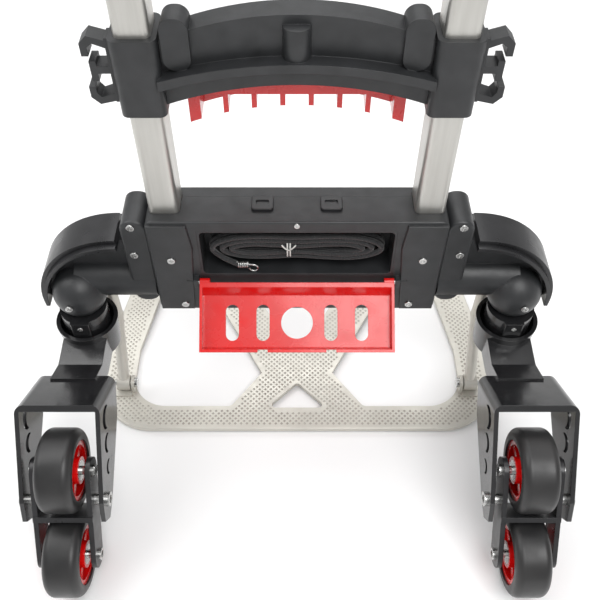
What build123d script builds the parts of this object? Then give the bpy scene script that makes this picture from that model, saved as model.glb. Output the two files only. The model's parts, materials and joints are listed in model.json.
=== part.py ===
from build123d import *
import os
from math import cos, radians, sin

os.makedirs("parts", exist_ok=True)

# Frame: origin on the floor, midway between the tubes; +X right, +Y to the load side, +Z up.
SIDES = ((-1, "left"), (1, "right"))

# Driving dimensions, in millimetres and degrees
TUBE_X, TUBE_Y = 113.0, 8.0
TUBE_W, TUBE_D, TUBE_WALL, TUBE_R = 26.0, 30.0, 1.5, 5.0
TUBE_Z0, TUBE_Z1 = 158.0, 600.0
FIT = 0.2

INNER_W, INNER_D, INNER_R = 20.0, 24.0, 3.0
INNER_Z0, INNER_Z1 = 525.0, 985.0
HANDLE_Z = 996.0

HOUSING_W, HOUSING_Z0, HOUSING_Z1 = 259.0, 155.0, 270.0
HOUSING_BACK, HOUSING_SPLIT, HOUSING_FRONT = -18.0, 14.0, 28.0
HOUSING_WALL = 3.0

BOX_W, BOX_Z0, BOX_Z1, BOX_WALL, BOX_BACK = 168.0, 206.0, 258.0, 2.0, 12.0

DOOR_W, DOOR_LEN, DOOR_DEEP, DOOR_WALL = 176.0, 64.0, 12.0, 2.5
DOOR_Y, DOOR_Z, DOOR_DROOP = -22.0, 199.0, 36.0
PIN_R = 2.0
PIN_CLEAR = 0.05

CASTER_X, CASTER_Y = 207.0, -10.0
STEM_R, STEM_Z0, STEM_Z1 = 22.5, 112.0, 150.0
CUP_R, CUP_BORE, CUP_Z0, CUP_Z1, CUP_FLOOR = 30.0, 26.0, 97.0, 132.0, 109.0
KINGPIN_R = 6.0

FORK_HALF, FORK_PLATE = 37.0, 4.0
PIVOT_Y, PIVOT_Z = -178.0, 82.0
FAR_Y, FAR_Z = -162.0, 106.0
NEAR_Y = -211.0

WHEEL_R, TYRE_HALF, HUB_R, HUB_HALF = 37.5, 16.0, 27.0, 14.0
AXLE_R, BEARING_R = 4.0, 9.0
ROCKER_HALF, ROCKER_PLATE, ROCKER_W = 26.5, 4.5, 12.0

BAR_Z0, BAR_Z1 = 372.0, 434.0

PLATE_Z0, PLATE_T = 3.0, 5.0
PLATE_REAR, PLATE_FRONT, PLATE_HALF = -64.0, 248.5, 215.0
HINGE_X, HINGE_Y, HINGE_Z = 180.0, -12.0, 18.0
STRUT_X, STRUT_Y, STRUT_R, STRUT_KNEE = 190.0, 26.0, 6.0, 92.0


def at_y(y):
    """Sketch plane that looks along +Y: its own x and y are the frame's X and Z."""
    return Plane.XZ.offset(-y)


def at_x(x):
    """Sketch plane across X: its own x and y are the frame's Y and Z."""
    return Plane.YZ.offset(x)


def screw_head(x, y, z, radius=3.6, height=1.6):
    """A pan head with a cross recess, facing the rear, as a separate solid."""
    with BuildPart() as head:
        with BuildSketch(at_y(y)):
            with Locations((x, z)):
                Circle(radius)
        extrude(amount=height)
        fillet(head.faces().sort_by(Axis.Y)[0].edges(), 0.6)
        with BuildSketch(at_y(y - height)):
            with Locations((x, z)):
                Rectangle(radius, 0.8)
                Rectangle(0.8, radius)
        extrude(amount=-0.7, mode=Mode.SUBTRACT)
    return head.part


# ---------------------------------------------------------------- base housing
with BuildPart() as housing_rear:
    depth = HOUSING_SPLIT - HOUSING_BACK
    mid_z = (HOUSING_Z0 + HOUSING_Z1) / 2
    high = HOUSING_Z1 - HOUSING_Z0
    with BuildSketch(at_y(HOUSING_SPLIT)):
        with Locations((0, mid_z)):
            RectangleRounded(HOUSING_W, high, 7)
    extrude(amount=depth)
    fillet(housing_rear.faces().sort_by(Axis.Y)[0].edges(), 2)
    # two pocket panels stand proud around the tubes
    with BuildSketch(at_y(HOUSING_BACK)):
        for side, tag in SIDES:
            with BuildLine():
                Polyline(
                    (side * 97, HOUSING_Z0 + 3), (side * 128, HOUSING_Z0 + 3),
                    (side * 128, HOUSING_Z1 - 3), (side * 94, HOUSING_Z1 - 3),
                    (side * 91, HOUSING_Z1 - 30), close=True,
                )
            make_face()
    extrude(amount=2.5)
    fillet(housing_rear.faces().sort_by(Axis.Y)[0:2].edges(), 1)
    with BuildSketch(at_y(HOUSING_SPLIT)):
        with Locations((0, mid_z)):
            RectangleRounded(HOUSING_W - 2 * HOUSING_WALL, high - 2 * HOUSING_WALL, 0.4)
    extrude(amount=depth - HOUSING_WALL, mode=Mode.SUBTRACT)
    with BuildSketch(at_y(0)):
        with Locations((0, (BOX_Z0 + BOX_Z1) / 2)):
            Rectangle(BOX_W + 2 * BOX_WALL, BOX_Z1 - BOX_Z0 + 2 * BOX_WALL)
    extrude(amount=30, mode=Mode.SUBTRACT)
    with BuildSketch(Plane.XY.offset(HOUSING_Z1 - 10)):
        with Locations((-TUBE_X, TUBE_Y), (TUBE_X, TUBE_Y)):
            RectangleRounded(TUBE_W + 2 * FIT, TUBE_D + 2 * FIT, TUBE_R)
    extrude(amount=20, mode=Mode.SUBTRACT)
    # hinge lugs that carry the door pins
    for side, tag in SIDES:
        with Locations((side * 91.2, (DOOR_Y - 3 + HOUSING_BACK) / 2, DOOR_Z)):
            Box(4.4, HOUSING_BACK - DOOR_Y + 3, 9)
        with BuildSketch(at_x(side * 80)):
            with Locations((DOOR_Y, DOOR_Z)):
                Circle(PIN_R)
        extrude(amount=side * 20, mode=Mode.SUBTRACT)
housing_rear.part.label = "housing_rear"
export_step(housing_rear.part, "parts/housing_rear.step")

with BuildPart() as housing_front:
    depth = HOUSING_FRONT - HOUSING_SPLIT
    with BuildSketch(at_y(HOUSING_FRONT)):
        with Locations((0, mid_z)):
            RectangleRounded(HOUSING_W, high, 7)
    extrude(amount=depth)
    fillet(housing_front.faces().sort_by(Axis.Y)[-1].edges(), 3)
    with BuildSketch(at_y(HOUSING_FRONT - HOUSING_WALL)):
        with Locations((0, mid_z)):
            RectangleRounded(HOUSING_W - 2 * HOUSING_WALL, high - 2 * HOUSING_WALL, 0.4)
    extrude(amount=depth, mode=Mode.SUBTRACT)
    with BuildSketch(Plane.XY.offset(HOUSING_Z1 - 10)):
        with Locations((-TUBE_X, TUBE_Y), (TUBE_X, TUBE_Y)):
            RectangleRounded(TUBE_W + 2 * FIT, TUBE_D + 2 * FIT, TUBE_R)
    extrude(amount=20, mode=Mode.SUBTRACT)
housing_front.part.label = "housing_front"
export_step(housing_front.part, "parts/housing_front.step")

with BuildPart() as compartment_liner:
    box_mid = (BOX_Z0 + BOX_Z1) / 2
    with BuildSketch(at_y(BOX_BACK)):
        with Locations((0, box_mid)):
            Rectangle(BOX_W + 2 * BOX_WALL, BOX_Z1 - BOX_Z0 + 2 * BOX_WALL)
    extrude(amount=BOX_BACK - HOUSING_BACK)
    with BuildSketch(at_y(BOX_BACK - BOX_WALL)):
        with Locations((0, box_mid)):
            RectangleRounded(BOX_W, BOX_Z1 - BOX_Z0, 4)
    extrude(amount=BOX_BACK - HOUSING_BACK, mode=Mode.SUBTRACT)
compartment_liner.part.label = "compartment_liner"
export_step(compartment_liner.part, "parts/compartment_liner.step")

with BuildPart() as top_clips:
    for x in (-29.5, 29.5):
        with BuildSketch(Plane.XY.offset(HOUSING_Z1)):
            with Locations((x, 4)):
                RectangleRounded(19, 17, 3)
        extrude(amount=3)
    fillet(top_clips.faces().filter_by(Axis.Z).group_by(Axis.Z)[-1].edges(), 1)
    for x in (-29.5, 29.5):
        with BuildSketch(Plane.XY.offset(HOUSING_Z1 + 3)):
            with Locations((x, 4)):
                RectangleRounded(11, 6, 1.5)
        extrude(amount=-1.5, mode=Mode.SUBTRACT)
top_clips.part.label = "top_clips"
export_step(top_clips.part, "parts/top_clips.step")

panel_back = HOUSING_BACK - 2.5
screw_places = []
for side, tag in SIDES:
    screw_places.append((side * 111, panel_back, 226))
    screw_places.append((side * 105, panel_back, 166))
heads = [screw_head(x, y, z) for x, y, z in screw_places]
heads.append(screw_head(0, HOUSING_BACK, 266.2, 2.6, 1.2))
with BuildPart() as housing_screws:
    add(heads)
housing_screws.part.label = "housing_screws"
export_step(housing_screws.part, "parts/housing_screws.step")

# ---------------------------------------------------------------- telescopic tubes
for side, tag in SIDES:
    with BuildPart() as lower_tube:
        with BuildSketch(Plane.XY.offset(TUBE_Z0)):
            with Locations((side * TUBE_X, TUBE_Y)):
                RectangleRounded(TUBE_W, TUBE_D, TUBE_R)
                RectangleRounded(
                    TUBE_W - 2 * TUBE_WALL, TUBE_D - 2 * TUBE_WALL, TUBE_R - TUBE_WALL,
                    mode=Mode.SUBTRACT,
                )
        extrude(amount=TUBE_Z1 - TUBE_Z0)
    lower_tube.part.label = f"lower_tube_{tag}"
    export_step(lower_tube.part, f"parts/lower_tube_{tag}.step")

    with BuildPart() as guide_bush:
        with BuildSketch(Plane.XY.offset(TUBE_Z1 - 40)):
            with Locations((side * TUBE_X, TUBE_Y)):
                RectangleRounded(
                    TUBE_W - 2 * TUBE_WALL, TUBE_D - 2 * TUBE_WALL, TUBE_R - TUBE_WALL
                )
        extrude(amount=40)
        with BuildSketch(Plane.XY.offset(TUBE_Z1)):
            with Locations((side * TUBE_X, TUBE_Y)):
                RectangleRounded(TUBE_W + 6, TUBE_D + 6, TUBE_R + 2)
        extrude(amount=12)
        fillet(guide_bush.faces().sort_by(Axis.Z)[-1].edges(), 2)
        with BuildSketch(Plane.XY.offset(TUBE_Z1 - 50)):
            with Locations((side * TUBE_X, TUBE_Y)):
                RectangleRounded(INNER_W + 2 * FIT, INNER_D + 2 * FIT, INNER_R)
        extrude(amount=80, mode=Mode.SUBTRACT)
    guide_bush.part.label = f"guide_bush_{tag}"
    export_step(guide_bush.part, f"parts/guide_bush_{tag}.step")

    with BuildPart() as inner_tube:
        with BuildSketch(Plane.XY.offset(INNER_Z0)):
            with Locations((side * TUBE_X, TUBE_Y)):
                RectangleRounded(INNER_W, INNER_D, INNER_R)
                RectangleRounded(INNER_W - 2.4, INNER_D - 2.4, INNER_R - 1, mode=Mode.SUBTRACT)
        extrude(amount=INNER_Z1 - INNER_Z0)
    inner_tube.part.label = f"inner_tube_{tag}"
    export_step(inner_tube.part, f"parts/inner_tube_{tag}.step")

# ---------------------------------------------------------------- handle and release button
HANDLE_W, HANDLE_H, HANDLE_D = 262.0, 30.0, 36.0
handle_z0 = INNER_Z1 - 28
for half, y0, y1 in (("rear", TUBE_Y - HANDLE_D / 2, TUBE_Y), ("front", TUBE_Y, TUBE_Y + HANDLE_D / 2)):
    outer_face = y0 if half == "rear" else y1
    with BuildPart() as handle_shell:
        with BuildSketch(at_y(y1)):
            with Locations((0, HANDLE_Z)):
                RectangleRounded(HANDLE_W, HANDLE_H, 12)
            for side, tag in SIDES:
                with Locations((side * TUBE_X, (handle_z0 + HANDLE_Z) / 2)):
                    RectangleRounded(34, HANDLE_Z - handle_z0 + 8, 5)
        extrude(amount=y1 - y0)
        rim = handle_shell.faces().filter_by(Axis.Y).sort_by(Axis.Y)[0 if half == "rear" else -1]
        fillet(rim.edges(), 5)
        # sockets for the inner tubes, and the well of the release button
        with BuildSketch(Plane.XY.offset(handle_z0 - 10)):
            with Locations((-TUBE_X, TUBE_Y), (TUBE_X, TUBE_Y)):
                RectangleRounded(INNER_W, INNER_D, INNER_R)
        extrude(amount=INNER_Z1 - handle_z0 + 10, mode=Mode.SUBTRACT)
        with Locations((0, TUBE_Y, HANDLE_Z + 1)):
            Box(46, 18.6, HANDLE_H - 8, mode=Mode.SUBTRACT)
        with Locations((0, TUBE_Y, HANDLE_Z + HANDLE_H / 2)):
            Box(38.6, 14.6, 12, mode=Mode.SUBTRACT)
    handle_shell.part.label = f"handle_{half}"
    export_step(handle_shell.part, f"parts/handle_{half}.step")

BUTTON_TOP = HANDLE_Z + HANDLE_H / 2 + 4
with BuildPart() as release_button:
    with BuildSketch(Plane.XY.offset(BUTTON_TOP - 14)):
        with Locations((0, TUBE_Y)):
            RectangleRounded(38, 14, 4)
    extrude(amount=14)
    fillet(release_button.faces().sort_by(Axis.Z)[-1].edges(), 2)
    with BuildSketch(Plane.XY.offset(BUTTON_TOP - 14)):
        with Locations((0, TUBE_Y)):
            RectangleRounded(44, 17, 3)
    extrude(amount=2.5)
release_button.part.label = "release_button"
export_step(release_button.part, "parts/release_button.step")

SPRING_R, SPRING_WIRE, SPRING_PITCH = 4.0, 0.9, 2.3
spring_z0 = HANDLE_Z - HANDLE_H / 2 + 5.0
spring_z1 = BUTTON_TOP - 14
with BuildPart() as button_spring:
    spring_high = spring_z1 - spring_z0 - SPRING_WIRE
    with BuildLine() as coil:
        Helix(SPRING_PITCH, spring_high, SPRING_R, center=(0, TUBE_Y, spring_z0 + SPRING_WIRE / 2))
    with BuildSketch(Plane(coil.line @ 0, z_dir=coil.line % 0)):
        Circle(SPRING_WIRE / 2)
    sweep()
button_spring.part.label = "button_spring"
export_step(button_spring.part, "parts/button_spring.step")

# ---------------------------------------------------------------- crossbar
with BuildPart() as crossbar:
    # arched web between the sleeves
    with BuildSketch(at_y(18)):
        with BuildLine():
            top = ThreePointArc((-99, 428), (0, 449), (99, 428))
            end_line = Line(top @ 1, (99, 376))
            low = ThreePointArc((99, 376), (0, 394), (-99, 376))
            Line(low @ 1, top @ 0)
        make_face()
    extrude(amount=20)
    # shelf across the rear face
    with BuildSketch(at_y(-2)):
        with BuildLine():
            shelf_top = ThreePointArc((-99, 404), (0, 418), (99, 404))
            Line(shelf_top @ 1, (99, 396))
            shelf_low = ThreePointArc((99, 396), (0, 411), (-99, 396))
            Line(shelf_low @ 1, shelf_top @ 0)
        make_face()
    extrude(amount=12)
    # half-round boss in the middle
    with BuildSketch(Plane.XY.offset(412)):
        with Locations((0, -2)):
            Circle(10)
    extrude(amount=30)
    for side, tag in SIDES:
        with BuildSketch(at_y(14)):
            with Locations((side * 84, 428)):
                RectangleRounded(20, 40, 9)
        extrude(amount=20)
        with BuildSketch(Plane.XY.offset(BAR_Z0)):
            with Locations((side * TUBE_X, TUBE_Y)):
                RectangleRounded(TUBE_W + 8, TUBE_D + 9, 6)
        extrude(amount=BAR_Z1 - BAR_Z0)
    with BuildSketch(Plane.XY.offset(BAR_Z0 - 10)):
        with Locations((-TUBE_X, TUBE_Y), (TUBE_X, TUBE_Y)):
            RectangleRounded(TUBE_W, TUBE_D, TUBE_R)
    extrude(amount=BAR_Z1 - BAR_Z0 + 20, mode=Mode.SUBTRACT)
crossbar.part.label = "crossbar"
export_step(crossbar.part, "parts/crossbar.step")

GRIP_Y0, GRIP_Y1 = 18.0, 44.0
with BuildPart() as crossbar_grip:
    with BuildSketch(at_y(GRIP_Y1)):
        with BuildLine():
            grip_top = ThreePointArc((-84, 402), (0, 424), (84, 402))
            Line(grip_top @ 1, (84, 346))
            grip_low = ThreePointArc((84, 346), (0, 362), (-84, 346))
            Line(grip_low @ 1, grip_top @ 0)
        make_face()
    extrude(amount=GRIP_Y1 - GRIP_Y0)
    # open cells between upright ribs, in the lower edge
    for cell in range(-3, 4):
        with Locations((cell * 22.0, (GRIP_Y0 + GRIP_Y1) / 2 - 4, 352)):
            Box(18, GRIP_Y1 - GRIP_Y0, 40, mode=Mode.SUBTRACT)
crossbar_grip.part.label = "crossbar_grip"
export_step(crossbar_grip.part, "parts/crossbar_grip.step")

for side, tag in SIDES:
    with BuildPart() as strap_hooks:
        hook_x = TUBE_X + TUBE_W / 2 + 4
        with BuildSketch(at_y(14)):
            with BuildLine():
                Polyline(
                    (side * hook_x, 378), (side * (hook_x + 4), 378),
                    (side * (hook_x + 4), 430), (side * hook_x, 430), close=True,
                )
            make_face()
            # the upper prong curls down, the middle one is a tee, the lower one curls up
            with BuildLine():
                Polyline(
                    (side * (hook_x + 3), 428), (side * (hook_x + 16), 432),
                    (side * (hook_x + 22), 426), (side * (hook_x + 22), 416),
                    (side * (hook_x + 17), 416), (side * (hook_x + 17), 423),
                    (side * (hook_x + 13), 426), (side * (hook_x + 3), 422), close=True,
                )
            make_face()
            with BuildLine():
                Polyline(
                    (side * (hook_x + 3), 408), (side * (hook_x + 13), 408),
                    (side * (hook_x + 13), 412), (side * (hook_x + 18), 412),
                    (side * (hook_x + 18), 396), (side * (hook_x + 13), 396),
                    (side * (hook_x + 13), 402), (side * (hook_x + 3), 402), close=True,
                )
            make_face()
            with BuildLine():
                Polyline(
                    (side * (hook_x + 3), 386), (side * (hook_x + 14), 382),
                    (side * (hook_x + 17), 386), (side * (hook_x + 17), 391),
                    (side * (hook_x + 22), 391), (side * (hook_x + 22), 382),
                    (side * (hook_x + 16), 376), (side * (hook_x + 3), 379), close=True,
                )
            make_face()
        extrude(amount=14)
    strap_hooks.part.label = f"strap_hooks_{tag}"
    export_step(strap_hooks.part, f"parts/strap_hooks_{tag}.step")

# ---------------------------------------------------------------- arms
for side, tag in SIDES:
    with BuildPart() as arm:
        # webbed elbow whose upper edge carries the leaf cover
        with BuildSketch(at_y(HOUSING_FRONT)):
            with BuildLine():
                leaf = ThreePointArc((side * 160, 228), (side * 218, 204), (side * 238, 152))
                Polyline(leaf @ 1, (side * 190, 152), (side * 148, 160), (side * 148, 234), leaf @ 0)
            make_face()
        extrude(amount=HOUSING_FRONT - 2)
        # shoulder bolted to the housing
        with BuildSketch(at_y(HOUSING_FRONT)):
            with Locations((side * 141.5, 212)):
                RectangleRounded(24, 104, 11)
        extrude(amount=HOUSING_FRONT + 12)
        fillet(arm.faces().sort_by(Axis.Y)[0].edges(), 3)
        # round arm tube and the elbow ball
        with BuildSketch(at_x(side * 131)):
            with Locations((4, 179)):
                Circle(19)
        extrude(amount=side * (CASTER_X - 131))
        with Locations((side * CASTER_X, -5, 168)):
            Sphere(25.5)
        with BuildSketch(at_y(STRUT_Y + 10)):
            with Locations((side * STRUT_X, STEM_Z1 + 17)):
                RectangleRounded(22, 34, 3)
        extrude(amount=30)
        with Locations((side * 200, 0, STEM_Z1 - 30)):
            Box(200, 200, 60, mode=Mode.SUBTRACT)
    arm.part.label = f"arm_{tag}"
    export_step(arm.part, f"parts/arm_{tag}.step")

    with BuildPart() as leaf_inner:
        with BuildSketch(at_y(33)):
            with BuildLine():
                under = ThreePointArc((side * 160, 228), (side * 218, 204), (side * 238, 152))
                Line(under @ 1, (side * 241.5, 152))
                over = ThreePointArc((side * 241.5, 152), (side * 220.5, 206.5), (side * 161, 231.5))
                Line(over @ 1, under @ 0)
            make_face()
        extrude(amount=45)
    leaf_inner.part.label = f"leaf_inner_{tag}"
    export_step(leaf_inner.part, f"parts/leaf_inner_{tag}.step")

    with BuildPart() as leaf_outer:
        with BuildSketch(at_y(30)):
            with BuildLine():
                under = ThreePointArc((side * 161, 231.5), (side * 220.5, 206.5), (side * 241.5, 152))
                Line(under @ 1, (side * 244.5, 145))
                over = ThreePointArc((side * 244.5, 145), (side * 223.5, 209.5), (side * 162, 235.5))
                Line(over @ 1, under @ 0)
            make_face()
        extrude(amount=36)
    leaf_outer.part.label = f"leaf_outer_{tag}"
    export_step(leaf_outer.part, f"parts/leaf_outer_{tag}.step")

    with BuildPart() as stem:
        with BuildSketch(Plane.XY.offset(STEM_Z0)):
            with Locations((side * CASTER_X, CASTER_Y)):
                Circle(STEM_R)
        extrude(amount=STEM_Z1 - STEM_Z0)
        chamfer(stem.faces().sort_by(Axis.Z)[0].edges(), 1.5)
        with BuildSketch(Plane.XY.offset(CUP_Z0 - 3)):
            with Locations((side * CASTER_X, CASTER_Y)):
                Circle(KINGPIN_R)
        extrude(amount=STEM_Z0 - CUP_Z0 + 3)
        # raised key panel that indexes the caster
        with BuildSketch(Plane.XY.offset(CUP_Z1 - 16)):
            with Locations((side * CASTER_X, CASTER_Y - STEM_R + 2)):
                RectangleRounded(18, 7, 1.5)
        extrude(amount=STEM_Z1 - CUP_Z1 + 16)
    stem.part.label = f"stem_{tag}"
    export_step(stem.part, f"parts/stem_{tag}.step")

    heads = [
        screw_head(side * 143, -12, 258),
        screw_head(side * 145, -12, 224),
        screw_head(side * 212, -30.4, 170, 3.4),
        screw_head(side * CASTER_X, CASTER_Y - STEM_R - 1.5, 143, 2.4, 1.0),
    ]
    with BuildPart() as arm_screws:
        add(heads)
    arm_screws.part.label = f"arm_screws_{tag}"
    export_step(arm_screws.part, f"parts/arm_screws_{tag}.step")

strut_run = ((STRUT_Y - HINGE_Y) ** 2 + (STRUT_KNEE - HINGE_Z) ** 2) ** 0.5
slant = Plane(
    (STRUT_X, STRUT_Y, STRUT_KNEE), x_dir=(1, 0, 0),
    z_dir=(0, HINGE_Y - STRUT_Y, HINGE_Z - STRUT_KNEE),
)
with BuildPart() as strut_right:
    # an upright leg, a knee, a slanting leg and the pin's eye
    with BuildSketch(Plane.XY.offset(STEM_Z1)):
        with Locations((STRUT_X, STRUT_Y)):
            Circle(STRUT_R)
    extrude(amount=STRUT_KNEE - STEM_Z1)
    with Locations((STRUT_X, STRUT_Y, STRUT_KNEE)):
        Sphere(STRUT_R + 0.6)
    with BuildSketch(slant):
        Circle(STRUT_R)
    extrude(amount=strut_run)
    with BuildSketch(at_x(STRUT_X - STRUT_R - 1)):
        with Locations((HINGE_Y, HINGE_Z)):
            Circle(8)
    extrude(amount=2 * STRUT_R + 2)
    with BuildSketch(at_x(STRUT_X - 20)):
        with Locations((HINGE_Y, HINGE_Z)):
            Circle(3 + PIN_CLEAR)
    extrude(amount=40, mode=Mode.SUBTRACT)
strut_right.part.label = "strut_right"
export_step(strut_right.part, "parts/strut_right.step")

with BuildPart() as strut_left:
    add(mirror(strut_right.part, about=Plane.YZ))
strut_left.part.label = "strut_left"
export_step(strut_left.part, "parts/strut_left.step")

# ---------------------------------------------------------------- casters
axles = (("far", FAR_Y, FAR_Z), ("near", NEAR_Y, WHEEL_R))
rocker_plate_in = ROCKER_HALF - ROCKER_PLATE
fork_plate_in = FORK_HALF - FORK_PLATE

for side, tag in SIDES:
    cx = side * CASTER_X
    with BuildPart() as fork:
        # open cup round the stem
        with BuildSketch(Plane.XY.offset(CUP_Z0)):
            with Locations((cx, CASTER_Y)):
                Circle(CUP_R - 3)
        with BuildSketch(Plane.XY.offset(CUP_Z1)):
            with Locations((cx, CASTER_Y)):
                Circle(CUP_R)
        loft()
        # ribbed neck from the cup back to the fender
        with BuildSketch(at_x(cx - 21)):
            with BuildLine():
                Polyline(
                    (-14, CUP_Z0), (-14, 126), (-38, 124), (-60, 122), (-84, 134),
                    (-84, 120), (-70, 104), (-52, CUP_Z0), close=True,
                )
            make_face()
        extrude(amount=42)
        # fender: a raked channel over the far wheel
        with BuildSketch(at_x(cx - FORK_HALF)):
            with BuildLine():
                Polyline(
                    (-76, 127), (-128, 159), (-187, 92), (-196, 74), (-186, 61),
                    (-170, 64), (-100, 98), close=True,
                )
            make_face()
        extrude(amount=2 * FORK_HALF)
        roof_edges = fork.edges().filter_by(lambda edge: abs(edge.length - 61.06) < 0.3)
        fillet(roof_edges, 8)
        with BuildSketch(at_x(cx - fork_plate_in)):
            with BuildLine():
                Polyline(
                    (-80, 120), (-84, 126.5), (-127, 153), (-148, 160), (-240, 90),
                    (-220, 20), (-150, 30), (-80, 80), close=True,
                )
            make_face()
        extrude(amount=2 * fork_plate_in, mode=Mode.SUBTRACT)
        with BuildSketch(Plane.XY.offset(CUP_FLOOR)):
            with Locations((cx, CASTER_Y)):
                Circle(CUP_BORE)
        extrude(amount=40, mode=Mode.SUBTRACT)
        with BuildSketch(Plane.XY.offset(CUP_Z0 - 10)):
            with Locations((cx, CASTER_Y)):
                Circle(KINGPIN_R + PIN_CLEAR)
        extrude(amount=40, mode=Mode.SUBTRACT)
        # three shrinking crescent holes down each side plate
        with BuildSketch(at_x(cx - FORK_HALF - 5)):
            for y, z, size in ((-124, 133, 11), (-139, 114, 9), (-153, 96, 7)):
                with Locations((y, z)):
                    Circle(size)
                with Locations((y + 0.45 * size, z - 0.55 * size)):
                    Circle(size * 0.95, mode=Mode.SUBTRACT)
        extrude(amount=2 * FORK_HALF + 10, mode=Mode.SUBTRACT)
        with BuildSketch(at_x(cx - FORK_HALF - 5)):
            with Locations((PIVOT_Y, PIVOT_Z)):
                Circle(5)
        extrude(amount=2 * FORK_HALF + 10, mode=Mode.SUBTRACT)
    fork.part.label = f"fork_{tag}"
    export_step(fork.part, f"parts/fork_{tag}.step")

    with BuildPart() as pivot_bolts:
        for end in (-1, 1):
            with BuildSketch(at_x(cx + end * (rocker_plate_in + 0.5))):
                with Locations((PIVOT_Y, PIVOT_Z)):
                    Circle(5)
            extrude(amount=end * (FORK_HALF - rocker_plate_in - 0.5))
            with BuildSketch(at_x(cx + end * FORK_HALF)):
                with Locations((PIVOT_Y, PIVOT_Z)):
                    Circle(6.5)
            extrude(amount=end * 3)
            with BuildSketch(at_x(cx + end * (FORK_HALF + 3))):
                with Locations((PIVOT_Y, PIVOT_Z)):
                    RegularPolygon(4, 6)
            extrude(amount=-end * 1.8, mode=Mode.SUBTRACT)
    pivot_bolts.part.label = f"pivot_bolts_{tag}"
    export_step(pivot_bolts.part, f"parts/pivot_bolts_{tag}.step")

    with BuildPart() as kingpin_nut:
        with BuildSketch(Plane.XY.offset(CUP_Z0 - 3)):
            with Locations((cx, CASTER_Y)):
                RegularPolygon(10, 6)
        extrude(amount=-6)
    kingpin_nut.part.label = f"kingpin_nut_{tag}"
    export_step(kingpin_nut.part, f"parts/kingpin_nut_{tag}.step")

    with BuildPart() as rocker:
        middle_y = (FAR_Y + NEAR_Y) / 2
        middle_z = (FAR_Z + WHEEL_R) / 2
        for end in (-1, 1):
            with BuildSketch(at_x(cx + end * rocker_plate_in)):
                with Locations((FAR_Y, FAR_Z), (NEAR_Y, WHEEL_R)):
                    Circle(ROCKER_W)
                with BuildLine():
                    along_y = (FAR_Y - NEAR_Y) / 84.2
                    along_z = (FAR_Z - WHEEL_R) / 84.2
                    Polyline(
                        (FAR_Y + along_z * ROCKER_W, FAR_Z - along_y * ROCKER_W),
                        (FAR_Y - along_z * ROCKER_W, FAR_Z + along_y * ROCKER_W),
                        (NEAR_Y - along_z * ROCKER_W, WHEEL_R + along_y * ROCKER_W),
                        (NEAR_Y + along_z * ROCKER_W, WHEEL_R - along_y * ROCKER_W),
                        close=True,
                    )
                make_face()
                with Locations((PIVOT_Y, PIVOT_Z)):
                    Circle(5 + PIN_CLEAR, mode=Mode.SUBTRACT)
            extrude(amount=end * ROCKER_PLATE)
        bridge = Plane((cx, middle_y, middle_z), x_dir=(1, 0, 0), z_dir=(0, along_y, along_z))
        with BuildSketch(bridge.offset(-2.5)):
            Rectangle(2 * ROCKER_HALF, 26)
        extrude(amount=5)
        for name, y, z in axles:
            with BuildSketch(at_x(cx - ROCKER_HALF - 5)):
                with Locations((y, z)):
                    Circle(AXLE_R)
            extrude(amount=2 * ROCKER_HALF + 10, mode=Mode.SUBTRACT)
    rocker.part.label = f"rocker_{tag}"
    export_step(rocker.part, f"parts/rocker_{tag}.step")

    with BuildPart() as axle_set:
        for name, y, z in axles:
            with BuildSketch(at_x(cx - ROCKER_HALF)):
                with Locations((y, z)):
                    Circle(AXLE_R)
            extrude(amount=2 * ROCKER_HALF)
            for end in (-1, 1):
                with BuildSketch(at_x(cx + end * ROCKER_HALF)):
                    with Locations((y, z)):
                        Circle(5.5)
                extrude(amount=end * 2.5)
                with BuildSketch(at_x(cx + end * (ROCKER_HALF + 2.5))):
                    with Locations((y, z)):
                        RegularPolygon(3.5, 6)
                extrude(amount=-end * 1.5, mode=Mode.SUBTRACT)
    axle_set.part.label = f"axles_{tag}"
    export_step(axle_set.part, f"parts/axles_{tag}.step")

    for name, y, z in axles:
        wheel = Plane((cx, y, z), x_dir=(0, 1, 0), z_dir=(1, 0, 0))
        with BuildPart() as tyre:
            with BuildSketch(wheel.offset(-TYRE_HALF)):
                Circle(WHEEL_R)
                Circle(HUB_R, mode=Mode.SUBTRACT)
            extrude(amount=2 * TYRE_HALF)
            rims = tyre.edges().filter_by(GeomType.CIRCLE).sort_by(SortBy.RADIUS)[-2:]
            fillet(rims, 7)
        tyre.part.label = f"tyre_{name}_{tag}"
        export_step(tyre.part, f"parts/tyre_{name}_{tag}.step")

        with BuildPart() as hub:
            with BuildSketch(wheel.offset(-HUB_HALF)):
                Circle(HUB_R)
                Circle(HUB_R - 4.5, mode=Mode.SUBTRACT)
            extrude(amount=2 * HUB_HALF)
            with BuildSketch(wheel.offset(-HUB_HALF - 2)):
                Circle(BEARING_R + 3)
            extrude(amount=2 * HUB_HALF + 4)
            with BuildSketch(wheel.offset(-HUB_HALF + 3)):
                with PolarLocations((BEARING_R + HUB_R) / 2, 5):
                    Rectangle(HUB_R - BEARING_R - 1, 6)
            extrude(amount=2 * HUB_HALF - 6)
            with BuildSketch(wheel.offset(-30)):
                Circle(BEARING_R)
            extrude(amount=60, mode=Mode.SUBTRACT)
        hub.part.label = f"hub_{name}_{tag}"
        export_step(hub.part, f"parts/hub_{name}_{tag}.step")

        with BuildPart() as bearing:
            with BuildSketch(wheel.offset(-HUB_HALF - 2)):
                Circle(BEARING_R)
                Circle(AXLE_R + PIN_CLEAR, mode=Mode.SUBTRACT)
            extrude(amount=2 * HUB_HALF + 4)
        bearing.part.label = f"bearing_{name}_{tag}"
        export_step(bearing.part, f"parts/bearing_{name}_{tag}.step")

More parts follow.
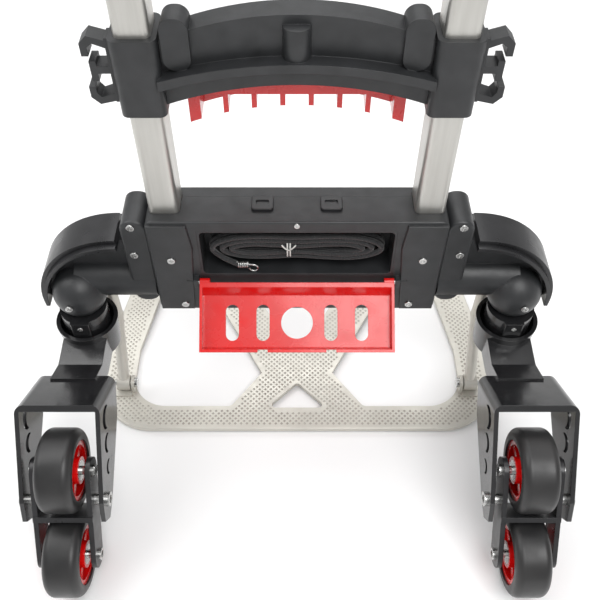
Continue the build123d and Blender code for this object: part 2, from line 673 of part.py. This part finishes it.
# ---------------------------------------------------------------- toe plate
with BuildPart() as toe_plate:
    with BuildSketch(Plane.XY.offset(PLATE_Z0)) as outline:
        with BuildLine():
            Polyline(
                (-PLATE_HALF, PLATE_REAR), (PLATE_HALF, PLATE_REAR), (PLATE_HALF, 60),
                (184, PLATE_FRONT), (-184, PLATE_FRONT), (-PLATE_HALF, 60), close=True,
            )
        make_face()
        corners = outline.vertices().group_by(Axis.Y)
        fillet(corners[0], 58)
        fillet(outline.vertices().group_by(Axis.Y)[-1], 58)
        for side, tag in SIDES:
            with BuildSketch(mode=Mode.SUBTRACT) as window:
                with BuildLine():
                    Polyline(
                        (side * 72, -36), (side * 181, -36), (side * 181, 40),
                        (side * 152, 206), (side * 146, 206), (side * 39.5, 8), close=True,
                    )
                make_face()
                fillet(window.vertices().sort_by_distance((side * 181, -36, 0))[0], 38)
                fillet(window.vertices().sort_by_distance((side * 72, -36, 0))[0], 8)
        with BuildSketch(mode=Mode.SUBTRACT) as rear_triangle:
            with BuildLine():
                Polyline((-33, -38), (33, -38), (0, -5), close=True)
            make_face()
            fillet(rear_triangle.vertices(), 4)
        with BuildSketch(mode=Mode.SUBTRACT) as front_triangle:
            with BuildLine():
                Polyline((-96, 206), (96, 206), (0, 32), close=True)
            make_face()
            fillet(front_triangle.vertices(), 10)
    extrude(amount=PLATE_T)
    fillet(toe_plate.faces().sort_by(Axis.Z)[-1].outer_wire().edges(), 1.5)
toe_plate.part.label = "toe_plate"
export_step(toe_plate.part, "parts/toe_plate.step")

with BuildPart() as plate_ears:
    for side, tag in SIDES:
        with BuildSketch(at_x(side * HINGE_X - 1.5)):
            with Locations((HINGE_Y, HINGE_Z)):
                Circle(8)
            with Locations((HINGE_Y, (PLATE_Z0 + PLATE_T + HINGE_Z) / 2)):
                Rectangle(16, HINGE_Z - PLATE_Z0 - PLATE_T)
            with Locations((HINGE_Y, HINGE_Z)):
                Circle(3, mode=Mode.SUBTRACT)
        extrude(amount=3)
        with BuildSketch(Plane.XY.offset(PLATE_Z0 + PLATE_T)):
            with Locations((side * 191, HINGE_Y)):
                RectangleRounded(19, 24, 3)
        extrude(amount=1.6)
plate_ears.part.label = "plate_ears"
export_step(plate_ears.part, "parts/plate_ears.step")

with BuildPart() as plate_pins:
    for side, tag in SIDES:
        with BuildSketch(at_x(side * (HINGE_X - 1.5))):
            with Locations((HINGE_Y, HINGE_Z)):
                Circle(3)
        extrude(amount=side * 21)
        with BuildSketch(at_x(side * (HINGE_X - 1.5))):
            with Locations((HINGE_Y, HINGE_Z)):
                Circle(5.5)
        extrude(amount=-side * 3)
plate_pins.part.label = "plate_pins"
export_step(plate_pins.part, "parts/plate_pins.step")

with BuildPart() as plate_feet:
    for x, y in ((-150, -50), (150, -50), (-150, 227), (150, 227)):
        with BuildSketch():
            with Locations((x, y)):
                Circle(9)
        extrude(amount=PLATE_Z0)
plate_feet.part.label = "plate_feet"
export_step(plate_feet.part, "parts/plate_feet.step")

# ---------------------------------------------------------------- compartment door
droop_c, droop_s = cos(radians(DOOR_DROOP)), sin(radians(DOOR_DROOP))
door_plane = Plane((0, DOOR_Y, DOOR_Z), x_dir=(1, 0, 0), z_dir=(0, -droop_s, droop_c))
door_side = Plane((-DOOR_W / 2, DOOR_Y, DOOR_Z), x_dir=(0, droop_c, droop_s), z_dir=(1, 0, 0))
LIP = 3.5
with BuildPart() as door:
    with BuildSketch(door_side):
        with BuildLine():
            Polyline(
                (-1, LIP), (-9, LIP - DOOR_DEEP), (-DOOR_LEN + 2, LIP - DOOR_DEEP),
                (-DOOR_LEN, LIP), close=True,
            )
        make_face()
        Circle(3.5)
    extrude(amount=DOOR_W)
    with BuildSketch(door_side.offset(DOOR_WALL)):
        with BuildLine():
            Polyline(
                (-4.5, LIP + 1), (-12, LIP - DOOR_DEEP + DOOR_WALL),
                (-DOOR_LEN + 4.5, LIP - DOOR_DEEP + DOOR_WALL), (-DOOR_LEN + 2.5, LIP + 1),
                close=True,
            )
        make_face()
    extrude(amount=DOOR_W - 2 * DOOR_WALL, mode=Mode.SUBTRACT)
    # the barrel stays only at the two ends
    with BuildSketch(door_side.offset(9)):
        with Locations((2.2, 0)):
            Rectangle(6, 20)
    extrude(amount=DOOR_W - 18, mode=Mode.SUBTRACT)
    with BuildSketch(door_plane.offset(-20)):
        with Locations((0, -37)):
            Circle(14.5)
        with Locations((-59, -37), (-31, -37), (31, -37), (59, -37)):
            SlotOverall(33, 12, rotation=90)
        with Locations((-31, -DOOR_LEN), (31, -DOOR_LEN)):
            Rectangle(9, 5)
    extrude(amount=40, mode=Mode.SUBTRACT)
    with BuildSketch(door_side.offset(-5)):
        Circle(PIN_R + PIN_CLEAR)
    extrude(amount=DOOR_W + 10, mode=Mode.SUBTRACT)
door.part.label = "door"
export_step(door.part, "parts/door.step")

with BuildPart() as door_pins:
    for side, tag in SIDES:
        with BuildSketch(at_x(side * 80.5)):
            with Locations((DOOR_Y, DOOR_Z)):
                Circle(PIN_R)
        extrude(amount=side * 12.9)
door_pins.part.label = "door_pins"
export_step(door_pins.part, "parts/door_pins.step")

# ---------------------------------------------------------------- stowed strap cord
with BuildPart() as cord_hank:
    with BuildSketch(at_y(7)):
        with Locations((0, 230)):
            RectangleRounded(162, 46, 21)
    extrude(amount=20)
    fillet(cord_hank.faces().filter_by(Axis.Y).edges(), 5)
cord_hank.part.label = "cord_hank"
export_step(cord_hank.part, "parts/cord_hank.step")
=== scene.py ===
import json
from math import cos, pi, radians, sin

import bmesh
import bpy
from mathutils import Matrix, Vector
from mathutils.bvhtree import BVHTree


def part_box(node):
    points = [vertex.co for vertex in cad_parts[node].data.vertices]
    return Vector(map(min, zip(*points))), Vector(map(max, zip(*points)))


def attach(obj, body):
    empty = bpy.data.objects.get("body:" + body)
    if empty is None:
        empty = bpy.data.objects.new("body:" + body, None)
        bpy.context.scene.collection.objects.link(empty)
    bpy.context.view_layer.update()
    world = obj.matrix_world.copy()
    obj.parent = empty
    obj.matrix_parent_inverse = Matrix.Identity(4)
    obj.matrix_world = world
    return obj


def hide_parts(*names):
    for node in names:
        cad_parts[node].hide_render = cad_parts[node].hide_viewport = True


# All sizes and places are in metres, in the frame's own axes.
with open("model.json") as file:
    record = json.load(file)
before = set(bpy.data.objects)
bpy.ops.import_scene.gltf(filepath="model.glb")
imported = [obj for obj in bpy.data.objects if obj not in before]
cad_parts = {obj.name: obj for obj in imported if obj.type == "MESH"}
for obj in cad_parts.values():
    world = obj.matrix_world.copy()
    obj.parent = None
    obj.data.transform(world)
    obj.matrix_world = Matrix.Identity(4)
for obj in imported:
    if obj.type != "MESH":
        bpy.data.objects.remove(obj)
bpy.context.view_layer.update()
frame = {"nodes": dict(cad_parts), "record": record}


# ---------------------------------------------------------------- camera
CAMERA_PLACE = (0.0, -0.470, 0.7165)
CAMERA_TILT = radians(39.5)
LENS_MM, SENSOR_MM = 45.2, 36.0
SIDE_SHIFT = 0.005


def make_camera():
    """Behind and above the trolley, looking down at its base."""
    data = bpy.data.cameras.new("camera")
    data.lens = LENS_MM
    data.sensor_width = SENSOR_MM
    data.shift_x = SIDE_SHIFT
    camera = bpy.data.objects.new("camera", data)
    camera.location = CAMERA_PLACE
    camera.rotation_euler = (CAMERA_TILT, 0.0, 0.0)
    bpy.context.scene.collection.objects.link(camera)
    bpy.context.scene.camera = camera


make_camera()


# ---------------------------------------------------------------- materials
EDGE = 0.0008
EDGE_SAMPLES = 4
NOISE_MIDDLE = (0.3, 0.7)
FINE_DETAIL = 4.0


class Surface:
    """A principled material with procedural grain; calls add one layer of detail each."""

    def __init__(self, name, color, roughness, metallic=0.0):
        self.material = bpy.data.materials.new(name)
        self.material.use_nodes = True
        self.tree = self.material.node_tree
        self.shader = self.tree.nodes["Principled BSDF"]
        self.shader.inputs["Base Color"].default_value = (*color, 1.0)
        self.shader.inputs["Roughness"].default_value = roughness
        self.shader.inputs["Metallic"].default_value = metallic
        coordinates = self.tree.nodes.new("ShaderNodeTexCoord")
        self.place = coordinates.outputs["Object"]
        self.color = color
        self.normal = None

    def noise(self, scale, detail, stretch=None):
        """Noise over the object's own coordinates, drawn out along an axis where stretch is small."""
        place = self.place
        if stretch:
            mapping = self.tree.nodes.new("ShaderNodeMapping")
            mapping.inputs["Scale"].default_value = stretch
            self.tree.links.new(place, mapping.inputs["Vector"])
            place = mapping.outputs["Vector"]
        noise = self.tree.nodes.new("ShaderNodeTexNoise")
        noise.inputs["Scale"].default_value = scale
        noise.inputs["Detail"].default_value = detail
        self.tree.links.new(place, noise.inputs["Vector"])
        return noise.outputs["Fac"]

    def ranged(self, value, low, high):
        """The middle of the noise's range, spread from low to high."""
        spread = self.tree.nodes.new("ShaderNodeMapRange")
        spread.inputs["From Min"].default_value = NOISE_MIDDLE[0]
        spread.inputs["From Max"].default_value = NOISE_MIDDLE[1]
        spread.inputs["To Min"].default_value = low
        spread.inputs["To Max"].default_value = high
        self.tree.links.new(value, spread.inputs["Value"])
        return spread.outputs["Result"]

    def vary_color(self, scale, other, stretch=None):
        mix = self.tree.nodes.new("ShaderNodeMix")
        mix.data_type = "RGBA"
        mix.inputs["A"].default_value = (*self.color, 1.0)
        mix.inputs["B"].default_value = (*other, 1.0)
        amount = self.ranged(self.noise(scale, FINE_DETAIL, stretch), 0.0, 1.0)
        self.tree.links.new(amount, mix.inputs["Factor"])
        self.tree.links.new(mix.outputs["Result"], self.shader.inputs["Base Color"])
        return self

    def vary_roughness(self, scale, low, high, stretch=None):
        value = self.ranged(self.noise(scale, FINE_DETAIL, stretch), low, high)
        self.tree.links.new(value, self.shader.inputs["Roughness"])
        return self

    def soften_edges(self, radius):
        bevel = self.tree.nodes.new("ShaderNodeBevel")
        bevel.samples = EDGE_SAMPLES
        bevel.inputs["Radius"].default_value = radius
        self.normal = bevel.outputs["Normal"]
        self.tree.links.new(self.normal, self.shader.inputs["Normal"])
        return self

    def bump(self, scale, distance, strength, detail=2.0, stretch=None):
        return self.bump_from(self.noise(scale, detail, stretch), distance, strength)

    def bump_from(self, height, distance, strength):
        node = self.tree.nodes.new("ShaderNodeBump")
        node.inputs["Strength"].default_value = strength
        node.inputs["Distance"].default_value = distance
        self.tree.links.new(height, node.inputs["Height"])
        if self.normal:
            self.tree.links.new(self.normal, node.inputs["Normal"])
        self.normal = node.outputs["Normal"]
        self.tree.links.new(self.normal, self.shader.inputs["Normal"])
        return self

    def coat(self, weight, roughness):
        self.shader.inputs["Coat Weight"].default_value = weight
        self.shader.inputs["Coat Roughness"].default_value = roughness
        return self

    def glow_through(self, weight, depth):
        self.shader.inputs["Subsurface Weight"].default_value = weight
        self.shader.inputs["Subsurface Scale"].default_value = depth
        return self


# plastics
matt_black = Surface("matt_black", (0.016, 0.017, 0.018), 0.42).vary_color(60, (0.026, 0.027, 0.029))
matt_black.vary_roughness(90, 0.34, 0.48).soften_edges(EDGE).bump(2600, 0.0002, 0.35)
satin_black = Surface("satin_black", (0.013, 0.013, 0.014), 0.33).vary_color(50, (0.021, 0.021, 0.023))
satin_black.vary_roughness(70, 0.26, 0.38).soften_edges(EDGE).bump(1800, 0.0001, 0.25)
gloss_black = Surface("gloss_black", (0.010, 0.010, 0.011), 0.22).vary_color(40, (0.017, 0.017, 0.018))
gloss_black.vary_roughness(55, 0.16, 0.28).soften_edges(EDGE).bump(420, 0.0002, 0.12).coat(0.3, 0.12)
grey_plastic = Surface("grey_plastic", (0.055, 0.056, 0.060), 0.45).vary_color(60, (0.075, 0.076, 0.080))
grey_plastic.vary_roughness(80, 0.38, 0.5).soften_edges(EDGE).bump(2200, 0.0002, 0.3)
red_plastic = Surface("red_plastic", (0.70, 0.006, 0.005), 0.27).vary_color(30, (0.60, 0.004, 0.004))
red_plastic.vary_roughness(60, 0.2, 0.34).soften_edges(EDGE).bump(350, 0.0002, 0.1).coat(0.35, 0.1)
red_plastic.glow_through(0.05, 0.004)
tie_plastic = Surface("tie_plastic", (0.75, 0.75, 0.72), 0.35).vary_color(150, (0.65, 0.65, 0.62))
tie_plastic.vary_roughness(200, 0.28, 0.42).bump(900, 0.0001, 0.2)

# metals; the tube's grain is drawn out along its length
TUBE_STREAKS = (9, 9, 0.4)
TUBE_SHEEN = (9, 9, 0.3)
TUBE_LINES = (8, 8, 0.15)
tube_metal = Surface("tube_metal", (0.56, 0.55, 0.52), 0.38, 0.85)
tube_metal.vary_color(25, (0.50, 0.49, 0.46), TUBE_STREAKS)
tube_metal.vary_roughness(160, 0.3, 0.44, TUBE_SHEEN).bump(700, 0.0001, 0.2, 3, TUBE_LINES)
plate_metal = Surface("plate_metal", (0.66, 0.64, 0.58), 0.42, 0.55).vary_color(14, (0.56, 0.54, 0.49))
plate_metal.vary_roughness(120, 0.38, 0.55).bump(900, 0.0002, 0.3)
stud_metal = Surface("stud_metal", (0.34, 0.32, 0.28), 0.45, 0.5).vary_color(40, (0.46, 0.44, 0.39))
stud_metal.vary_roughness(200, 0.35, 0.5).bump(1500, 0.0001, 0.2)
steel = Surface("steel", (0.62, 0.62, 0.61), 0.25, 1.0).vary_color(120, (0.50, 0.50, 0.49))
steel.vary_roughness(260, 0.18, 0.34).bump(1400, 0.0001, 0.15)

# rubbers
rubber = Surface("rubber", (0.020, 0.020, 0.020), 0.6).vary_color(70, (0.030, 0.029, 0.028))
rubber.vary_roughness(90, 0.5, 0.7).bump(1600, 0.0002, 0.35)
tyre = Surface("tyre", (0.013, 0.013, 0.0135), 0.4).vary_color(35, (0.022, 0.021, 0.021))
tyre.vary_roughness(45, 0.3, 0.5).bump(1300, 0.0002, 0.25)

# fabric
BRAID_LEAN = 0.8
BRAID_SCALE = 260.0
BRAID_DEPTH = 0.0006


def make_braid():
    """Black braided sleeve: two crossing sets of fine diagonal bands."""
    braid = Surface("braid", (0.009, 0.009, 0.010), 0.55)
    bands = []
    for turn in (BRAID_LEAN, -BRAID_LEAN):
        mapping = braid.tree.nodes.new("ShaderNodeMapping")
        mapping.inputs["Rotation"].default_value = (0.0, turn, turn)
        wave = braid.tree.nodes.new("ShaderNodeTexWave")
        wave.inputs["Scale"].default_value = BRAID_SCALE
        braid.tree.links.new(braid.place, mapping.inputs["Vector"])
        braid.tree.links.new(mapping.outputs["Vector"], wave.inputs["Vector"])
        bands.append(wave.outputs["Fac"])
    weave = braid.tree.nodes.new("ShaderNodeMath")
    weave.operation = "MAXIMUM"
    for socket, band in zip(weave.inputs, bands):
        braid.tree.links.new(band, socket)
    braid.vary_roughness(300, 0.45, 0.65)
    braid.bump_from(weave.outputs["Value"], BRAID_DEPTH, 0.7)
    braid.shader.inputs["Sheen Weight"].default_value = 0.25
    return braid


braid = make_braid()
BY_SLOT = {
    "black_plastic": matt_black, "satin_black_plastic": satin_black, "gloss_black_plastic": gloss_black,
    "grey_plastic": grey_plastic, "red_plastic": red_plastic, "tube_aluminium": tube_metal,
    "plate_aluminium": plate_metal, "steel": steel, "rubber": rubber, "tyre": tyre, "cord_fabric": braid,
}


def dress_cad_nodes():
    """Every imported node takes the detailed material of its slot."""
    for entry in frame["record"]["subparts"]:
        node = frame["nodes"][entry["node"]]
        for place in node.material_slots:
            place.material = BY_SLOT[entry["material_slot"]].material


dress_cad_nodes()


# ---------------------------------------------------------------- pieces and wires
def link(name, data, surface, body):
    """Puts a finished mesh in the scene, on its body and slot."""
    piece = bpy.data.objects.new(name, data)
    bpy.context.scene.collection.objects.link(piece)
    data.materials.append(surface.material)
    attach(piece, body)
    return piece


def wire(name, points, thickness, surface, body, cyclic=False):
    """A smooth round wire along a NURBS route; returns the tube and the line it follows."""
    data = bpy.data.curves.new(name, "CURVE")
    data.dimensions = "3D"
    data.bevel_resolution = 5
    data.resolution_u = 8
    data.use_fill_caps = True
    spline = data.splines.new("NURBS")
    spline.points.add(len(points) - 1)
    for point, place in zip(spline.points, points):
        point.co = (*place, 1.0)
    spline.order_u = 3
    spline.use_endpoint_u = not cyclic
    spline.use_cyclic_u = cyclic
    route = bpy.data.objects.new(f"{name}_route", data)
    line = [v.co.copy() for v in bpy.data.meshes.new_from_object(route).vertices]
    data.bevel_depth = thickness / 2
    tube = bpy.data.meshes.new_from_object(route)
    bpy.data.objects.remove(route)
    for face in tube.polygons:
        face.use_smooth = True
    return link(name, tube, surface, body), line


# ---------------------------------------------------------------- strap cord
CORD = 0.0050
HANK_Z = 0.230
# half length, half height, height at the tie and depth of each turn of the hank
TURNS = (
    (0.0770, 0.0200, 0.0110, 0.0018), (0.0775, 0.0205, 0.0136, -0.0038),
    (0.0690, 0.0148, 0.0082, -0.0036), (0.0600, 0.0090, 0.0028, -0.0040),
    (0.0590, 0.0088, 0.0028, -0.0095), (0.0675, 0.0145, 0.0082, -0.0092),
    (0.0765, 0.0200, 0.0136, -0.0094),
)
STEPS = 16
STEPS_LEFT_OFF = 6
# share of a turn where it starts to ease into the next, and share of its half length where it is fully open
EASE_FROM = 0.75
OPEN_FROM = 0.75
CORD_START = ((0.0700, 0.0098, 0.2150), (0.0702, 0.0065, 0.2156), (0.0740, 0.0030, 0.2215))
CORD_END = ((-0.0620, -0.0115, 0.2166), (-0.0530, -0.0145, 0.2150))


def eased(share):
    """Goes from 0 to 1 with a soft start and end."""
    return share * share * (3 - 2 * share)


def hank_point(turn, share):
    """A turn is a long loop drawn in at its middle; it eases into the next turn at its end."""
    here = TURNS[turn]
    after = TURNS[min(turn + 1, len(TURNS) - 1)]
    ease = eased(max(0.0, (share - EASE_FROM) / (1 - EASE_FROM)))
    length, height, waist, depth = (a + (b - a) * ease for a, b in zip(here, after))
    angle = 2 * pi * share
    x = length * cos(angle)
    opened = eased(min(1.0, abs(x) / (OPEN_FROM * length)))
    z = (waist + (height - waist) * opened) * sin(angle)
    return (x, depth, HANK_Z + z)


def cord_route():
    """From the compartment's back wall, round the turns of the hank, to the steel hook."""
    points = []
    for turn in range(len(TURNS)):
        for step in range(STEPS):
            points.append(hank_point(turn, step / STEPS))
    return [*CORD_START, *points[:-STEPS_LEFT_OFF], *CORD_END]


strap_cord, cord_line = wire("strap_cord", cord_route(), CORD, braid, "frame")

COIL_START = (-0.0535, -0.0150, 0.2150)
COIL_R, COIL_WIRE = 0.0030, 0.0011
COIL_TURNS, COIL_STEPS, COIL_RISE = 6, 8, 0.00020
HOOK_STEM = ((-0.0460, -0.0150, 0.2150), (-0.0425, -0.0150, 0.2150))
HOOK_CENTRE = (-0.0390, -0.0155, 0.2110)
HOOK_R, HOOK_WIRE = 0.0040, 0.0016
HOOK_TURN, HOOK_STEPS = 1.5 * pi, 8


def spring_hook():
    """The cord's steel end: a wound coil with an open hook."""
    points = []
    for step in range(COIL_TURNS * COIL_STEPS + 1):
        angle = 2 * pi * step / COIL_STEPS
        y, z = COIL_START[1] + COIL_R * sin(angle), COIL_START[2] + COIL_R * cos(angle)
        points.append((COIL_START[0] + step * COIL_RISE, y, z))
    coil, _ = wire("strap_hook_coil", points, COIL_WIRE, steel, "frame")
    bend = list(HOOK_STEM)
    for step in range(HOOK_STEPS + 1):
        angle = HOOK_TURN * step / HOOK_STEPS
        x, z = HOOK_CENTRE[0] + HOOK_R * sin(angle), HOOK_CENTRE[2] + HOOK_R * cos(angle)
        bend.append((x, HOOK_CENTRE[1], z))
    hook, _ = wire("strap_hook", bend, HOOK_WIRE, steel, "frame")
    return coil, hook


coil_piece, hook_piece = spring_hook()
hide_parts("cord_hank")

TIE_XS = (-0.0085, -0.0060)
TIE_Y, TIE_DEEP, TIE_HIGH = -0.0040, 0.0100, 0.0128
TIE_STEPS, TIE_WIRE = 12, 0.0014
TAIL_X, TAIL_WIRE = -0.0072, 0.0013
# sideways reach, depth and height over the hank's middle of each point of a tail
TAIL_POINTS = ((0.0, -0.0138, 0.002), (0.003, -0.0168, 0.006), (0.006, -0.0165, 0.011))


def twist_tie():
    """White tie round the middle of the hank, with two twisted tails."""
    for number, x in enumerate(TIE_XS):
        ring = []
        for step in range(TIE_STEPS):
            angle = 2 * pi * step / TIE_STEPS
            ring.append((x, TIE_Y + TIE_DEEP * cos(angle), HANK_Z + TIE_HIGH * sin(angle)))
        wire(f"twist_tie_{number}", ring, TIE_WIRE, tie_plastic, "frame", True)
    for number, lean in enumerate((-1, 1)):
        tail = [(TAIL_X + lean * reach, y, HANK_Z + rise) for reach, y, rise in TAIL_POINTS]
        wire(f"twist_tail_{number}", tail, TAIL_WIRE, tie_plastic, "frame")


twist_tie()


# ---------------------------------------------------------------- plate pattern
STUD_PITCH, STUD_R, STUD_HIGH = 0.0062, 0.00165, 0.0005
STUD_CORNERS, STUD_FLANK = 8, 0.75
STUD_MARGIN = 0.0048
RAY_FROM, FLAT_WITHIN = 0.01, 0.0002


def surface_of(name):
    """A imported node's mesh, for casting rays at."""
    mesh = frame["nodes"][name].data
    return BVHTree.FromPolygons([v.co for v in mesh.vertices], [p.vertices for p in mesh.polygons])


def on_face(solid, x, y, top, margin):
    """True where the flat upper face reaches at least the margin round the point."""
    for dx, dy in ((margin, 0), (-margin, 0), (0, margin), (0, -margin), (0, 0)):
        place = solid.ray_cast(Vector((x + dx, y + dy, top + RAY_FROM)), Vector((0, 0, -1)))[0]
        if place is None or place.z < top - FLAT_WITHIN:
            return False
    return True


def add_stud(mesh, x, y, top):
    """A low diamond: a ring whose flanks are drawn in between its four points, and a crown."""
    crown = mesh.verts.new((x, y, top + STUD_HIGH))
    ring = []
    for step in range(STUD_CORNERS):
        angle = 2 * pi * step / STUD_CORNERS
        reach = STUD_R * (1.0 if step % 2 == 0 else STUD_FLANK)
        ring.append(mesh.verts.new((x + reach * cos(angle), y + reach * sin(angle), top)))
    for first, second in zip(ring, ring[1:] + ring[:1]):
        mesh.faces.new((crown, first, second))
    mesh.faces.new(list(reversed(ring)))


def plate_studs():
    """Small diamond studs in a crossed lattice over the plate's upper face."""
    low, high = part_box("toe_plate")
    solid = surface_of("toe_plate")
    mesh = bmesh.new()
    columns = int((high[0] - low[0]) / STUD_PITCH)
    rows = int((high[1] - low[1]) / STUD_PITCH * 2)
    for row in range(rows):
        y = low[1] + row * STUD_PITCH / 2
        for column in range(columns):
            x = low[0] + (column + 0.5 * (row % 2)) * STUD_PITCH
            if on_face(solid, x, y, high[2], STUD_MARGIN):
                add_stud(mesh, x, y, high[2])
    data = bpy.data.meshes.new("plate_studs")
    mesh.to_mesh(data)
    mesh.free()
    return link("plate_studs", data, stud_metal, "plate")


plate_studs()


# ---------------------------------------------------------------- stage
FLOOR_HALF = 6.0
SKY_STRENGTH = 0.55
# name, place, aim, size in metres and power in watts of each light
LIGHTS = (
    ("key", (0.5, -0.9, 1.9), (0, 0, 0.15), 1.2, 26),
    ("fill", (-1.1, 0.2, 1.5), (0, 0, 0.15), 1.2, 14),
    ("top", (0.0, 0.9, 2.0), (0, 0, 0.2), 1.4, 16),
)


def area_light(name, place, aim, size, power):
    data = bpy.data.lights.new(name, "AREA")
    data.size = size
    data.energy = power
    light = bpy.data.objects.new(name, data)
    light.location = place
    light.rotation_euler = (Vector(aim) - Vector(place)).to_track_quat("-Z", "Y").to_euler()
    bpy.context.scene.collection.objects.link(light)


def make_floor():
    mesh = bmesh.new()
    bmesh.ops.create_grid(mesh, x_segments=2, y_segments=2, size=FLOOR_HALF)
    data = bpy.data.meshes.new("floor")
    mesh.to_mesh(data)
    mesh.free()
    floor = bpy.data.objects.new("floor", data)
    bpy.context.scene.collection.objects.link(floor)
    pale = Surface("floor", (0.90, 0.90, 0.90), 0.7)
    data.materials.append(pale.material)


def make_stage():
    """A pale floor under a white sky, with three soft lights."""
    make_floor()
    world = bpy.data.worlds.new("world")
    world.use_nodes = True
    sky = world.node_tree.nodes["Background"]
    sky.inputs["Color"].default_value = (1.0, 1.0, 1.0, 1.0)
    sky.inputs["Strength"].default_value = SKY_STRENGTH
    bpy.context.scene.world = world
    for light in LIGHTS:
        area_light(*light)


make_stage()
bpy.context.scene.view_settings.view_transform = "Standard"

bpy.context.view_layer.update()
